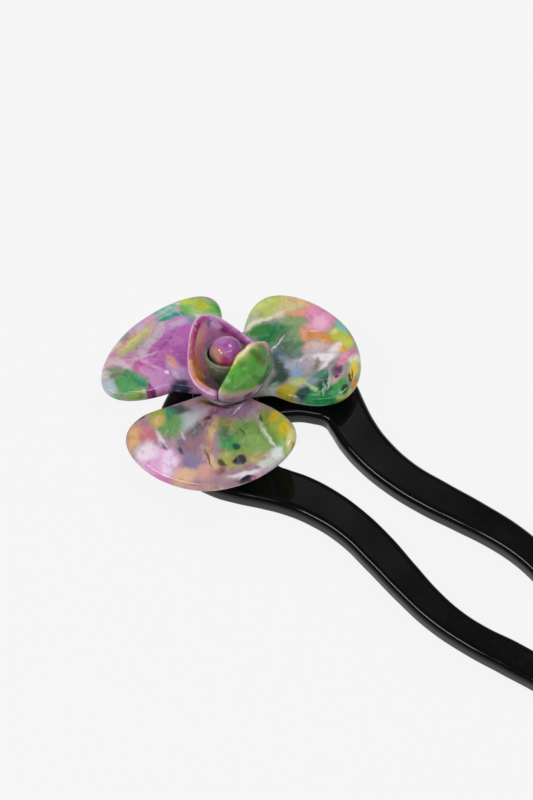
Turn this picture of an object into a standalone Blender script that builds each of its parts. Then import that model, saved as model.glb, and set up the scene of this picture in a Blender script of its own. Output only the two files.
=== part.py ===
"""Two-pronged hair fork with a flower of marbled acetate on its head.

Frame: metres, +Z up. The fork is a flat sheet whose underside is at z = 0, mirror symmetric
about x = 0, with its prongs pointing to -Y. The origin is on the underside of the head, under
the middle of the flower. Named lengths below are in millimetres.
"""

import math

import bmesh
import bpy
from mathutils import Matrix, Vector

MM = 0.001
OBJECT_NAME = "hair_fork_with_flower"
GAP = 0.35  # left between pieces that are glued together
WELD_DISTANCE = 1e-6

# Fork: the right half of its outline, from the head's crown down the outside of a prong, round
# the tip and back up the inside to the crotch. The left half is its mirror image.
SHEET_THICKNESS = 4.0
SHEET_ROUNDING = 1.3
FORK_CURVE_STEPS = 2  # between two points of the outline
FORK_OUTSIDE = (
    (0.0, 13.3), (9.3, 11.7), (14.3, 8.9), (18.3, 2.8), (19.1, -3.0), (18.3, -8.0),
    (16.5, -12.2), (14.4, -16.1), (12.5, -20.1), (11.1, -24.7), (10.4, -31.3), (11.2, -38.5),
    (12.3, -46.0), (13.0, -54.2), (12.4, -62.0), (11.2, -68.8), (9.8, -77.0), (9.5, -86.0),
    (10.3, -96.0), (10.4, -105.0),
)
PRONG_TIP = ((9.7, -109.5), (7.9, -111.6), (6.1, -109.6))
FORK_INSIDE = (
    (5.4, -104.5), (5.1, -96.0), (4.1, -87.0), (4.1, -77.5), (5.3, -68.0), (6.6, -62.2),
    (7.1, -57.0), (6.7, -51.5), (5.4, -44.9), (4.0, -38.2), (3.2, -30.5), (3.5, -23.7),
    (4.5, -18.8), (5.8, -15.2), (6.3, -13.4), (5.5, -11.4), (3.3, -8.4), (0.0, -6.5),
)

# Outer petals: radii of the outline about a point on the petal's own axis, every half turn
# divided by eight, from the petal's tip round to its root. Both sides are alike.
FLOWER_CENTRE = (-3.0, 2.77, 6.95)
PETAL_THICKNESS = 2.5
PETAL_ROUNDING = 1.1
PETAL_MIDDLE = 13.6  # from the flower's centre to the point that the radii start from
PETAL_RADII = (12.0, 12.2, 13.1, 14.4, 14.0, 11.3, 9.5, 10.8, 14.2)
CUP_ALONG = -0.0011  # rise per square millimetre along the petal's axis
CUP_ACROSS = 0.0072  # and across it
PETAL_RINGS = 5
PETAL_SPOKES = 40
# name: direction, pitch and roll in degrees, shift outwards, scale along and across, lift
PETALS = {
    "left_petal": (212.1, 7.7, 11.3, -3.62, 1.04, 1.09, 0.2),
    "head_petal": (93.9, -1.3, 7.3, 2.04, 0.81, 1.05, 0.0),
    "right_petal": (-16.3, -0.2, -2.3, 0.62, 1.02, 0.94, 0.15),
}
GLUE_HOLE_RADIUS = 1.9

# Bud: cups of thin sheet about one upright axis. Every radius is of the outside, and a cup
# swells from its root radius to its full radius over the given rise. The back is the +Y side.
BUD_AXIS = (-2.2, 2.9)
BUD_SEAT_RADIUS = 5.8  # the petals' roots are cut flat this far round the axis
BUD_SEAT = 8.75
BUD_BASE = 9.75
BUD_RINGS = 8
BUD_SPOKES_PER_TURN = 40
BACK_PETAL = {"root": 4.8, "full": 7.0, "rise": 4.5, "wall": 1.3}
BACK_FROM, BACK_TO = -17, 207  # degrees about the axis, from +X
BACK_TIP, BACK_TIP_HEIGHT, BACK_SIDE_HEIGHT = 92, 23.4, 15.2
BACK_TIP_SPREAD_RIGHT, BACK_TIP_SPREAD_LEFT = 92, 62  # degrees over which its tip falls away
FRONT_PETAL = {"root": 4.6, "full": 7.7, "rise": 6.0, "wall": 1.3}
FRONT_FROM, FRONT_TO = 206, 338
FRONT_TIP, FRONT_TIP_HEIGHT = 272, 23.1
FRONT_SIDE_DROP = 6.0
FRONT_SHIFT = (0.4, -0.45)
FRONT_CLOSES_FROM, FRONT_CLOSES_OVER = 15.7, 8.3
INNER_CUP = {"root": 1.7, "full": 3.95, "rise": 7.0, "wall": 0.55}
INNER_CUP_RIM, INNER_CUP_RIM_TILT, INNER_CUP_HIGHEST = 18.4, 1.1, 215
CORE_RADIUS = 3.05
CORE_CENTRE = 18.6
CORE_STEM = ((2.9, 17.1), (2.45, 14.9), (1.7, 12.7), (0.85, 11.1), (0.0, 11.1))
TURNED_STEPS = 32
DOME_STEPS = 6
RIM_ROUNDING_SHARE = 0.35  # of a bud wall's thickness
CUTTER_HEIGHT = 30
CUTTER_BLOCK = 80
EDGE_SEGMENTS = 3
THIN_EDGE_SEGMENTS = 2

FLOWER_BASE_RADIUS = 6.0
FLOWER_BASE_THICKNESS = 0.65
GLUE_POST_RADIUS = 1.4
GLUE_SKIRT_RADIUS = 4.3
GLUE_SKIRT_THICKNESS = 0.45

BLACK = (0.006, 0.006, 0.008)
MARBLED_GREEN = (0.30, 0.52, 0.18)
MARBLED_MAUVE = (0.55, 0.22, 0.50)
MARBLED_LILAC = (0.62, 0.40, 0.62)
CLEAR = (0.85, 0.85, 0.86)


def clear_scene():
    """Leave an empty scene with one collection for the parts and one for the cutters."""
    for obj in list(bpy.data.objects):
        bpy.data.objects.remove(obj, do_unlink=True)
    collections = []
    for name in (OBJECT_NAME, "cutters"):
        collection = bpy.data.collections.new(name)
        bpy.context.scene.collection.children.link(collection)
        collections.append(collection)
    collections[1].hide_render = True
    return collections


PARTS, CUTTERS = clear_scene()


def acetate(name, colour, roughness=0.08):
    """Glossy moulded or sheet plastic of one colour."""
    material = bpy.data.materials.new(name)
    material.use_nodes = True
    shader = material.node_tree.nodes["Principled BSDF"]
    shader.inputs["Base Color"].default_value = (*colour, 1.0)
    shader.inputs["Roughness"].default_value = roughness
    shader.inputs["Metallic"].default_value = 0.0
    return material


def object_from(name, bm, material=None, collection=PARTS):
    """Turn a bmesh into a smooth-shaded object of the given collection."""
    mesh = bpy.data.meshes.new(name)
    bmesh.ops.recalc_face_normals(bm, faces=bm.faces)
    bm.to_mesh(mesh)
    bm.free()
    mesh.shade_smooth()
    if material:
        mesh.materials.append(material)
    obj = bpy.data.objects.new(name, mesh)
    collection.objects.link(obj)
    return obj


def round_edges(obj, width, segments, angle=50):
    bevel = obj.modifiers.new("Rounded edges", "BEVEL")
    bevel.width = width * MM
    bevel.segments = segments
    bevel.limit_method = "ANGLE"
    bevel.angle_limit = math.radians(angle)
    bevel.use_clamp_overlap = False


def solidify(obj, thickness, offset):
    wall = obj.modifiers.new("Wall", "SOLIDIFY")
    wall.thickness = thickness * MM
    wall.offset = offset
    wall.use_even_offset = True


def add_cylinder(bm, radius, depth):
    bmesh.ops.create_cone(
        bm, cap_ends=True, segments=TURNED_STEPS, depth=depth * MM,
        radius1=radius * MM, radius2=radius * MM,
    )


def subtract(obj, cutter):
    cut = obj.modifiers.new("Cut by " + cutter.name, "BOOLEAN")
    cut.operation = "DIFFERENCE"
    cut.solver = "EXACT"
    cut.object = cutter


def as_cutter(obj):
    obj.hide_render = True
    obj.display_type = "WIRE"
    return obj


# Fork

def fork_outline():
    """Points once round the fork, both halves."""
    half = FORK_OUTSIDE + PRONG_TIP + FORK_INSIDE
    mirrored = tuple((-x, y) for x, y in reversed(half[1:-1]))
    return half + mirrored


def make_fork():
    points = fork_outline()
    curve = bpy.data.curves.new("hair_fork_outline", "CURVE")
    curve.dimensions = "2D"
    curve.fill_mode = "BOTH"
    curve.extrude = SHEET_THICKNESS / 2 * MM
    curve.resolution_u = FORK_CURVE_STEPS
    spline = curve.splines.new("BEZIER")
    spline.bezier_points.add(len(points) - 1)
    spline.use_cyclic_u = True
    for bezier, (x, y) in zip(spline.bezier_points, points):
        bezier.co = (x * MM, y * MM, 0)
        bezier.handle_left_type = bezier.handle_right_type = "AUTO"
    obj = bpy.data.objects.new("hair_fork", curve)
    PARTS.objects.link(obj)
    obj.location.z = SHEET_THICKNESS / 2 * MM
    curve.materials.append(acetate("black_acetate", BLACK))
    weld = obj.modifiers.new("Caps to sides", "WELD")
    weld.merge_threshold = WELD_DISTANCE
    round_edges(obj, SHEET_ROUNDING, EDGE_SEGMENTS)


# Outer petals

def petal_radius(angle):
    """The smooth closed curve of cosines that passes through PETAL_RADII."""
    last = len(PETAL_RADII) - 1
    total = 0.0
    for order in range(last + 1):
        share = 0.0
        for step, radius in enumerate(PETAL_RADII):
            weight = 0.5 if step in (0, last) else 1.0
            share += weight * radius * math.cos(math.pi * order * step / last)
        share *= (1.0 if order in (0, last) else 2.0) / last
        total += share * math.cos(order * angle)
    return total


def disc_of_rings(rings, spokes):
    """A unit disc made by spinning one spoke."""
    bm = bmesh.new()
    spoke = [bm.verts.new((ring / rings, 0, 0)) for ring in range(rings + 1)]
    edges = [bm.edges.new(pair) for pair in zip(spoke, spoke[1:])]
    bmesh.ops.spin(
        bm, geom=spoke + edges, axis=(0, 0, 1), cent=(0, 0, 0),
        angle=2 * math.pi, steps=spokes, use_merge=True,
    )
    bmesh.ops.remove_doubles(bm, verts=bm.verts, dist=WELD_DISTANCE)
    return bm


def petal_matrix(direction, pitch, roll, shift, lift):
    """From a petal lying along +X at the flower's centre to its place in the flower."""
    x, y, z = FLOWER_CENTRE
    place = Matrix.Translation(Vector((x, y, z + lift)) * MM)
    turn = Matrix.Rotation(math.radians(direction), 4, "Z")
    outwards = Matrix.Translation(Vector((shift, 0, 0)) * MM)
    raise_tip = Matrix.Rotation(math.radians(-pitch), 4, "Y")
    tip_sideways = Matrix.Rotation(math.radians(roll), 4, "X")
    return place @ turn @ outwards @ raise_tip @ tip_sideways


def make_half_space(name, direction, side):
    """A block that fills one side of the upright plane through the flower's centre."""
    bm = bmesh.new()
    bmesh.ops.create_cube(bm, size=CUTTER_BLOCK * MM)
    obj = object_from(name, bm, collection=CUTTERS)
    turn = Matrix.Rotation(math.radians(direction), 4, "Z")
    beside = Matrix.Translation(Vector((0, side * (CUTTER_BLOCK - GAP) / 2, 0)) * MM)
    obj.matrix_world = Matrix.Translation(Vector(FLOWER_CENTRE) * MM) @ turn @ beside
    return as_cutter(obj)


def make_upright_cutter(name, centre, radius, bottom):
    bm = bmesh.new()
    add_cylinder(bm, radius, CUTTER_HEIGHT)
    obj = object_from(name, bm, collection=CUTTERS)
    obj.location = Vector((*centre, bottom + CUTTER_HEIGHT / 2)) * MM
    return as_cutter(obj)


def make_outer_petals():
    """Three cupped petals, whose roots are trimmed where they would run into each other."""
    marbled = acetate("marbled_acetate", MARBLED_GREEN)
    glue_hole = make_upright_cutter("glue_hole", FLOWER_CENTRE[:2], GLUE_HOLE_RADIUS, 0)
    bud_seat = make_upright_cutter("bud_seat", BUD_AXIS, BUD_SEAT_RADIUS, BUD_SEAT)
    names = list(PETALS)
    for index, name in enumerate(names):
        direction, pitch, roll, shift, along, across, lift = PETALS[name]
        bm = disc_of_rings(PETAL_RINGS, PETAL_SPOKES)
        for vert in bm.verts:
            reach = vert.co.length * petal_radius(math.atan2(vert.co.y, vert.co.x))
            flat = vert.co.normalized() * reach
            u = (PETAL_MIDDLE + flat.x) * along
            v = flat.y * across
            vert.co = Vector((u, v, CUP_ALONG * u * u + CUP_ACROSS * v * v)) * MM
        petal = object_from(name, bm, marbled)
        petal.matrix_world = petal_matrix(direction, pitch, roll, shift, lift)
        solidify(petal, PETAL_THICKNESS, 0)
        round_edges(petal, PETAL_ROUNDING, EDGE_SEGMENTS)
        for step, side in ((1, -1), (-1, 1)):
            neighbour = PETALS[names[(index + step) % len(names)]][0]
            turn_to_it = (neighbour - direction + 180) % 360 - 180
            boundary = direction + turn_to_it / 2
            cutter = make_half_space(f"{name}_side_{step}", boundary, side)
            subtract(petal, cutter)
        subtract(petal, glue_hole)
        subtract(petal, bud_seat)


# Bud

def cup_radius(cup, height):
    """Outside radius of a bud cup at a height, swelling from its root like a quarter wave."""
    share = min(max((height - BUD_BASE) / cup["rise"], 0.0), 1.0)
    return cup["root"] + (cup["full"] - cup["root"]) * math.sin(share * math.pi / 2)


def cup_sheet(start, end):
    """An upright sheet of unit radius and height, curved round the axis from start to end."""
    bm = bmesh.new()
    ray = (math.cos(math.radians(start)), math.sin(math.radians(start)))
    post = [bm.verts.new((*ray, ring / BUD_RINGS)) for ring in range(BUD_RINGS + 1)]
    edges = [bm.edges.new(pair) for pair in zip(post, post[1:])]
    bmesh.ops.spin(
        bm, geom=post + edges, axis=(0, 0, 1), cent=(0, 0, 0),
        angle=math.radians(end - start), steps=round(BUD_SPOKES_PER_TURN * (end - start) / 360),
    )
    return bm


def turn_between(angle, middle):
    """Degrees from middle round to angle, between -180 and 180."""
    return (angle - middle + 180) % 360 - 180


def make_bud_petal(name, sheet, shape, cup, material):
    """Bend a unit sheet into a petal: shape gives floor, rim and radius for a direction."""
    for vert in sheet.verts:
        angle = math.degrees(math.atan2(vert.co.y, vert.co.x))
        height, radius, shift = shape(angle, vert.co.z)
        ray = Vector((vert.co.x, vert.co.y, 0)).normalized() * radius
        x = BUD_AXIS[0] + shift[0] + ray.x
        y = BUD_AXIS[1] + shift[1] + ray.y
        vert.co = Vector((x, y, height)) * MM
    petal = object_from(name, sheet, material)
    face_outwards(petal)
    solidify(petal, cup["wall"], -1)
    round_edges(petal, cup["wall"] * RIM_ROUNDING_SHARE, THIN_EDGE_SEGMENTS)
    return petal


def face_outwards(obj):
    """Turn an open sheet's faces away from the bud's axis, so that its wall grows inwards."""
    axis = Vector((*BUD_AXIS, 0)) * MM
    outwards = sum((face.center - axis).xy.dot(face.normal.xy) for face in obj.data.polygons)
    if outwards < 0:
        obj.data.flip_normals()


def back_shape(angle, share):
    """The back petal: highest behind the core, and falling away to both sides."""
    turn = turn_between(angle, BACK_TIP)
    spread = BACK_TIP_SPREAD_RIGHT if turn < 0 else BACK_TIP_SPREAD_LEFT
    rise = math.cos(min(abs(turn) / spread, 1.0) * math.pi / 2) ** 2
    rim = BACK_SIDE_HEIGHT + (BACK_TIP_HEIGHT - BACK_SIDE_HEIGHT) * rise
    height = BUD_BASE + (rim - BUD_BASE) * share
    return height, cup_radius(BACK_PETAL, height), (0, 0)


def front_shape(angle, share):
    """The front petal: it closes over the core towards its tip."""
    turn = turn_between(angle, FRONT_TIP)
    half = (FRONT_TO - FRONT_FROM) / 2
    rim = FRONT_TIP_HEIGHT - FRONT_SIDE_DROP * (turn / half) ** 4
    height = BUD_BASE + (rim - BUD_BASE) * share
    radius = cup_radius(FRONT_PETAL, height)
    if height > FRONT_CLOSES_FROM:
        closed = (height - FRONT_CLOSES_FROM) / FRONT_CLOSES_OVER
        radius *= math.sqrt(1 - closed ** 2)
    return height, radius, FRONT_SHIFT


def make_inner_cup(material):
    """A small open cup with a floor, round the core."""
    bm = disc_of_rings(BUD_RINGS + 1, TURNED_STEPS)
    floor_share = 1 / (BUD_RINGS + 1)
    for vert in bm.verts:
        share = vert.co.length
        ray = vert.co.normalized()
        height = BUD_BASE
        reach = INNER_CUP["root"] * share / floor_share
        if share > floor_share:
            turn = math.atan2(ray.y, ray.x) - math.radians(INNER_CUP_HIGHEST)
            rim = INNER_CUP_RIM + INNER_CUP_RIM_TILT * math.cos(turn)
            height += (rim - BUD_BASE) * (share - floor_share) / (1 - floor_share)
            reach = cup_radius(INNER_CUP, height)
        vert.co = Vector((BUD_AXIS[0] + ray.x * reach, BUD_AXIS[1] + ray.y * reach, height)) * MM
    cup = object_from("bud_inner_cup", bm, material)
    face_outwards(cup)
    solidify(cup, INNER_CUP["wall"], -1)
    round_edges(cup, INNER_CUP["wall"] * RIM_ROUNDING_SHARE, THIN_EDGE_SEGMENTS)


def make_turned(name, profile, centre, material):
    """Spin a profile of (radius, height) points, listed from the top down its outer side."""
    bm = bmesh.new()
    verts = [bm.verts.new(Vector((radius, 0, height)) * MM) for radius, height in profile]
    for pair in zip(verts, verts[1:]):
        bm.edges.new(pair)
    mesh = bpy.data.meshes.new(name)
    bm.to_mesh(mesh)
    bm.free()
    mesh.materials.append(material)
    obj = bpy.data.objects.new(name, mesh)
    PARTS.objects.link(obj)
    obj.location = Vector((*centre, 0)) * MM
    screw = obj.modifiers.new("Turned", "SCREW")
    screw.steps = screw.render_steps = TURNED_STEPS
    screw.use_merge_vertices = True
    screw.merge_threshold = WELD_DISTANCE
    screw.use_smooth_shade = True
    return obj


def make_core(material):
    dome = []
    for step in range(DOME_STEPS + 1):
        angle = math.pi / 2 * (1 - step / DOME_STEPS)
        dome.append((CORE_RADIUS * math.cos(angle), CORE_CENTRE + CORE_RADIUS * math.sin(angle)))
    dome[0] = (0.0, dome[0][1])
    make_turned("bud_core", dome + list(CORE_STEM), BUD_AXIS, material)


def make_bud():
    mauve = acetate("bud_mauve_acetate", MARBLED_MAUVE)
    green = acetate("bud_green_acetate", MARBLED_GREEN)
    lilac = acetate("bud_core_acetate", MARBLED_LILAC)
    back = cup_sheet(BACK_FROM, BACK_TO)
    make_bud_petal("bud_back_petal", back, back_shape, BACK_PETAL, mauve)
    front = cup_sheet(FRONT_FROM, FRONT_TO)
    make_bud_petal("bud_front_petal", front, front_shape, FRONT_PETAL, green)
    make_inner_cup(green)
    make_core(lilac)


# What joins the flower to the fork

def make_flower_base():
    """A low disc on the fork's head, under the petals' roots."""
    bm = bmesh.new()
    add_cylinder(bm, FLOWER_BASE_RADIUS, FLOWER_BASE_THICKNESS)
    base = object_from("flower_base", bm, acetate("base_acetate", BLACK))
    bottom = SHEET_THICKNESS + GAP
    base.location = Vector((*FLOWER_CENTRE[:2], bottom + FLOWER_BASE_THICKNESS / 2)) * MM
    round_edges(base, FLOWER_BASE_THICKNESS / 4, 1)


def make_adhesive():
    """Clear glue: a post between the petals' roots, spread into a skirt under the bud."""
    top = BUD_BASE - GAP
    skirt_bottom = top - GLUE_SKIRT_THICKNESS
    bottom = SHEET_THICKNESS + FLOWER_BASE_THICKNESS + 2 * GAP
    round_off = GLUE_SKIRT_THICKNESS / 3
    profile = (
        (0.0, top),
        (GLUE_SKIRT_RADIUS - round_off, top),
        (GLUE_SKIRT_RADIUS, top - round_off),
        (GLUE_SKIRT_RADIUS, skirt_bottom + round_off),
        (GLUE_SKIRT_RADIUS - round_off, skirt_bottom),
        (GLUE_POST_RADIUS, skirt_bottom),
        (GLUE_POST_RADIUS, bottom),
        (0.0, bottom),
    )
    make_turned("root_adhesive", profile, FLOWER_CENTRE[:2], acetate("clear_adhesive", CLEAR))


make_fork()
make_flower_base()
make_outer_petals()
make_adhesive()
make_bud()
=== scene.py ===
"""Looks of the hair fork with its acetate flower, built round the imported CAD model.

Lengths in the constants are millimetres, as in the CAD source, and colours are hex sRGB.
Every piece but flower_base is a fine mesh that stands for the plain CAD solid in its place.
"""

import math

import bmesh
import bpy
from mathutils import Matrix, Vector


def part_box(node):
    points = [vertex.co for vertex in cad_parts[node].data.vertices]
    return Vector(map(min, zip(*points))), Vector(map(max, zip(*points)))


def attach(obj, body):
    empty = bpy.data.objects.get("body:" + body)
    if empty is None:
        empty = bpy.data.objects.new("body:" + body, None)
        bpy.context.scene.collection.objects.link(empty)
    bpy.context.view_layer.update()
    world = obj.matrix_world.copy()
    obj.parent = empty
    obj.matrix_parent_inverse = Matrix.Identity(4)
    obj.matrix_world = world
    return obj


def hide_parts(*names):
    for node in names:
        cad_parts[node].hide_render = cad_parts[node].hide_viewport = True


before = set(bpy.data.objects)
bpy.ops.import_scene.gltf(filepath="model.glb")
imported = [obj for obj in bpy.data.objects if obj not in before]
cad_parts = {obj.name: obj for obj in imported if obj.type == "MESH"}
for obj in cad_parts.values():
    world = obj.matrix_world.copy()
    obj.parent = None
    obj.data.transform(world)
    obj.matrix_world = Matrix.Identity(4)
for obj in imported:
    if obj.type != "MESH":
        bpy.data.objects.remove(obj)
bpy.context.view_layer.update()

MM = 0.001
BODY = "root"
WELD_DISTANCE = 1e-6


# Places and sizes read from the frame

def box_mm(node):
    low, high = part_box(node)
    return Vector(low) / MM, Vector(high) / MM


def middle(node):
    low, high = box_mm(node)
    return (low + high) / 2


FORK_LOW, FORK_HIGH = box_mm("hair_fork")
SHEET_THICKNESS = FORK_HIGH.z - FORK_LOW.z
FLOWER_AXIS = middle("flower_base").xy
BUD_AXIS = middle("bud_core").xy
BUD_BASE = box_mm("bud_inner_cup")[0].z
GLUE_LOW, GLUE_HIGH = box_mm("root_adhesive")

# Fork: right half of the outline, from the crown down the outside and back up the inside
SHEET_ROUNDING = 1.3
FORK_HALF = (
    (0.0, 13.3), (9.3, 11.7), (14.3, 8.9), (18.3, 2.8), (19.1, -3.0), (18.3, -8.0),
    (16.5, -12.2), (14.4, -16.1), (12.5, -20.1), (11.1, -24.7), (10.4, -31.3), (11.2, -38.5),
    (12.3, -46.0), (13.0, -54.2), (12.4, -62.0), (11.2, -68.8), (9.8, -77.0), (9.5, -86.0),
    (10.3, -96.0), (10.4, -105.0), (9.7, -109.5), (7.9, -111.6), (6.1, -109.6),
    (5.4, -104.5), (5.1, -96.0), (4.1, -87.0), (4.1, -77.5), (5.3, -68.0), (6.6, -62.2),
    (7.1, -57.0), (6.7, -51.5), (5.4, -44.9), (4.0, -38.2), (3.2, -30.5), (3.5, -23.7),
    (4.5, -18.8), (5.8, -15.2), (6.3, -13.4), (5.5, -11.4), (3.3, -8.4), (0.0, -6.5),
)

# Outer petals
PETAL_ROOT_HEIGHT = 6.95
PETAL_THICKNESS = 2.5
PETAL_ROUNDING = 1.1
PETAL_MIDDLE = 13.6
PETAL_RADII = (12.0, 12.2, 13.1, 14.4, 14.0, 11.3, 9.5, 10.8, 14.2)
CUP_ALONG, CUP_ACROSS = -0.0011, 0.0072
# name: direction, pitch and roll in degrees, shift outwards, scale along and across, lift
PETALS = {
    "left_petal": (212.1, 7.7, 11.3, -3.62, 1.04, 1.09, 0.2),
    "head_petal": (93.9, -1.3, 7.3, 2.04, 0.81, 1.05, 0.0),
    "right_petal": (-16.3, -0.2, -2.3, 0.62, 1.02, 0.94, 0.15),
}
ROOT_GAP = 0.35
BUD_SEAT_RADIUS, BUD_SEAT = 5.8, 8.75
GLUE_HOLE_RADIUS = 1.9
CUTTER_SIZE, CUTTER_HEIGHT = 80, 30  # longer than anything that they cut

# Bud: each cup swells from its root radius to its full radius
BACK_PETAL = {"root": 4.8, "full": 7.0, "rise": 4.5, "wall": 1.3}
BACK_FROM, BACK_TO, BACK_TIP = -17, 207, 92
BACK_TIP_HEIGHT, BACK_SIDE_HEIGHT = 23.4, 15.2
BACK_SPREAD_RIGHT, BACK_SPREAD_LEFT = 92, 62
FRONT_PETAL = {"root": 4.6, "full": 7.7, "rise": 6.0, "wall": 1.3}
FRONT_FROM, FRONT_TO, FRONT_TIP = 206, 338, 272
FRONT_TIP_HEIGHT, FRONT_SIDE_DROP = 23.1, 6.0
FRONT_SHIFT = Vector((0.4, -0.45))
FRONT_CLOSES_FROM, FRONT_CLOSES_OVER = 15.7, 8.3
INNER_CUP = {"root": 1.7, "full": 3.95, "rise": 7.0, "wall": 0.55}
CUP_RIM, CUP_RIM_TILT, CUP_HIGHEST = 18.4, 1.1, 215
CUP_FLOOR_SHARE = 0.1  # share of the way from its middle to its rim that is floor
CORE_RADIUS, CORE_CENTRE = 3.05, 18.6
CORE_STEM = ((2.9, 17.1), (2.45, 14.9), (1.7, 12.7), (0.85, 11.1), (0.0, 11.1))
RIM_ROUNDING_SHARE = 0.35
ARC_RADIUS = 7.0  # bud paint is placed by arc length round the axis at this radius

GLUE_BEAD = 0.22
GLUE_POST_RADIUS = 1.4

# Acetate: how far light wanders in it, in metres, and the share of light that does
PETAL_DEPTH, PETAL_TRANSLUCENCE = 0.001, 0.3
BUD_DEPTH, BUD_TRANSLUCENCE = 0.004, 0.85
BLUR = 1.25  # softens the edge of every patch of colour
ANY_SIDE = 1000  # half size of a patch along an axis that does not limit it

# How fine the meshes are
FORK_STEPS = 14
FORK_EDGE_SEGMENTS = 10
EDGE_SEGMENTS = 3
ROUNDED_ABOVE = 50  # degrees between two faces
SMOOTHING_LEVELS = 2
PETAL_RINGS, PETAL_SPOKES = 7, 56
BUD_RINGS, BUD_SPOKES = 9, 44
TURNED_STEPS, DOME_STEPS, BEAD_STEPS = 128, 24, 8
HOLE_SEGMENTS = 64

# Light from around, as seen from the flower: azimuth 0 is the -Y side, in degrees
GLOW_DIRECTION = (150, 50)
GLOW_REACH = 20
STUDIO_LEVEL, GLOW_LEVEL = 0.15, 1.2
# name: azimuth, elevation, distance and size in metres, watts
SOFTBOXES = {
    "key_softbox": (-25, 63, 0.9, (0.9, 0.2), 2.5),
    "side_softbox": (-112, 45, 1.0, (0.6, 0.14), 4.2),
    "rim_softbox": (78, 60, 1.1, (0.4, 0.3), 3.2),
}
FLOOR_REACH = 6.0  # metres from its middle to each edge
FLOOR_DROP = 0.02  # millimetres under the fork
FLOOR_EMISSION = 0.87

CAMERA_AZIMUTH, CAMERA_ELEVATION = -48, 57
CAMERA_TARGET = (3.6, -1.5, 1.1)
CAMERA_DISTANCE = 450
CAMERA_LENS = 109.8


# Meshes

def new_object(name, bm):
    mesh = bpy.data.meshes.new(name)
    bmesh.ops.recalc_face_normals(bm, faces=bm.faces)
    bm.to_mesh(mesh)
    bm.free()
    mesh.shade_smooth()
    obj = bpy.data.objects.new(name, mesh)
    bpy.context.scene.collection.objects.link(obj)
    return obj


def settled(obj, name):
    """A new object holding obj's mesh with its modifiers applied, in the row frame."""
    bpy.context.view_layer.update()
    evaluated = obj.evaluated_get(bpy.context.evaluated_depsgraph_get())
    mesh = bpy.data.meshes.new_from_object(evaluated)
    mesh.transform(obj.matrix_world)
    mesh.name = name
    bpy.data.objects.remove(obj, do_unlink=True)
    fine = bpy.data.objects.new(name, mesh)
    bpy.context.scene.collection.objects.link(fine)
    return fine


def add_wall(obj, thickness, offset):
    wall = obj.modifiers.new("Wall", "SOLIDIFY")
    wall.thickness = thickness * MM
    wall.offset = offset
    wall.use_even_offset = True


def add_rounding(obj, width):
    bevel = obj.modifiers.new("Rounded edges", "BEVEL")
    bevel.width = width * MM
    bevel.segments = EDGE_SEGMENTS
    bevel.limit_method = "ANGLE"
    bevel.angle_limit = math.radians(ROUNDED_ABOVE)
    bevel.use_clamp_overlap = False


def add_smoothing(obj):
    subdivision = obj.modifiers.new("Smooth", "SUBSURF")
    subdivision.levels = subdivision.render_levels = SMOOTHING_LEVELS


def cut(obj, cutters):
    for cutter in cutters:
        boolean = obj.modifiers.new("Cut", "BOOLEAN")
        boolean.operation = "DIFFERENCE"
        boolean.object = cutter


def write_vectors(obj, name, vector_of):
    """Store on every vertex where the acetate's pattern is read, in millimetres."""
    vectors = obj.data.attributes.new(name, "FLOAT_VECTOR", "POINT")
    for vert, entry in zip(obj.data.vertices, vectors.data):
        entry.vector = vector_of(vert)


def stand_in(obj, node, material):
    """Give the finished piece its body and material, and hide the CAD node that it stands for."""
    obj.data.materials.clear()
    obj.data.materials.append(material)
    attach(obj, BODY)
    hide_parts(node)


def disc_of_rings(rings, spokes):
    bm = bmesh.new()
    spoke = [bm.verts.new((ring / rings, 0, 0)) for ring in range(rings + 1)]
    edges = [bm.edges.new(pair) for pair in zip(spoke, spoke[1:])]
    bmesh.ops.spin(
        bm, geom=spoke + edges, axis=(0, 0, 1), cent=(0, 0, 0),
        angle=2 * math.pi, steps=spokes, use_merge=True,
    )
    bmesh.ops.remove_doubles(bm, verts=bm.verts, dist=WELD_DISTANCE)
    return bm


# Node-built paint

def linear(hex_colour):
    """Linear RGBA of a hex sRGB colour."""
    channels = [int(hex_colour[i:i + 2], 16) / 255 for i in (0, 2, 4)]
    return (*[c / 12.92 if c <= 0.04045 else ((c + 0.055) / 1.055) ** 2.4 for c in channels], 1)


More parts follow.
